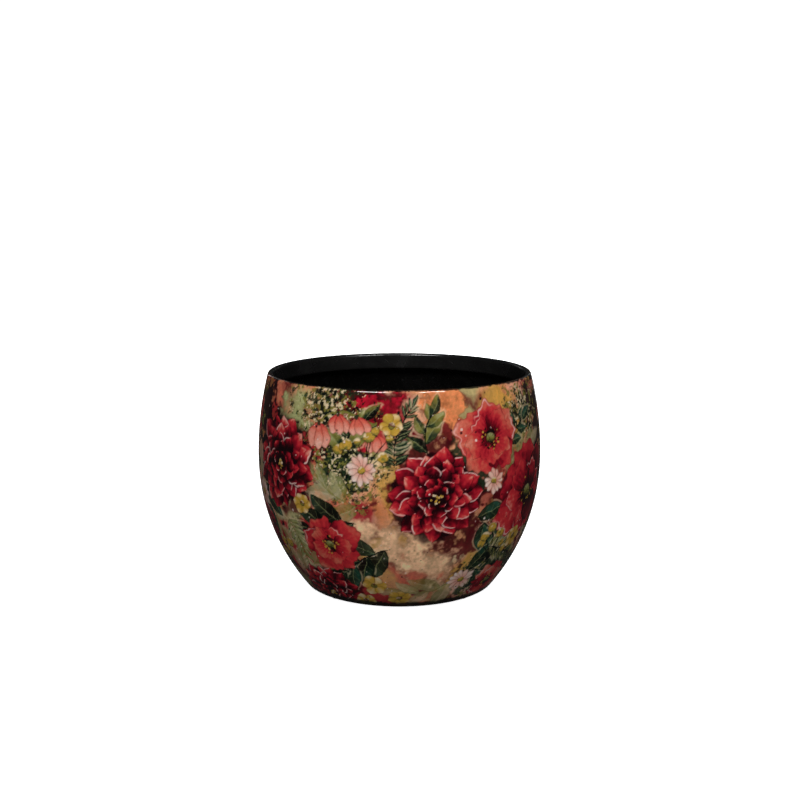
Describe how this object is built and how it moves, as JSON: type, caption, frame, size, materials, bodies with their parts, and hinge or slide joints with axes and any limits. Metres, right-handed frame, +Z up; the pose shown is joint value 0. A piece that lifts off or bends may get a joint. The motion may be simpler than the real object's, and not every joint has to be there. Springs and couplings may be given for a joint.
{
  "type": "cachepot",
  "caption": "Round bellied sheet-steel cachepot with a wired rim, turned-in collar and seamed base pan; holds a nursery pot and keeps its water off the furniture.",
  "frame": {"origin": "on the pot's axis, on the plane that the felt pads stand on", "axes": "+Z up along the pot's axis of revolution; -Y towards the picture's camera, +X to its right"},
  "size_m": [0.18, 0.18, 0.1375],
  "materials": {
    "black_lacquered_steel": "black baked lacquer on sheet steel, semi-gloss",
    "printed_lacquer": "multi-coloured floral print under a clear gloss lacquer",
    "galvanised_wire": "dull zinc-plated wire",
    "black_lacquered_pan": "black baked lacquer on a pressed steel pan, semi-gloss",
    "sealant": "black silicone sealant, satin",
    "felt": "black needled felt"
  },
  "bodies": {
    "root": {"pot_shell": "black_lacquered_steel", "print_coat": "printed_lacquer", "rim_wire": "galvanised_wire", "base_pan": "black_lacquered_pan", "seam_seal": "sealant", "foot_pad_back_right": "felt", "foot_pad_back_left": "felt", "foot_pad_front_left": "felt", "foot_pad_front_right": "felt"}
  },
  "joints": []
}
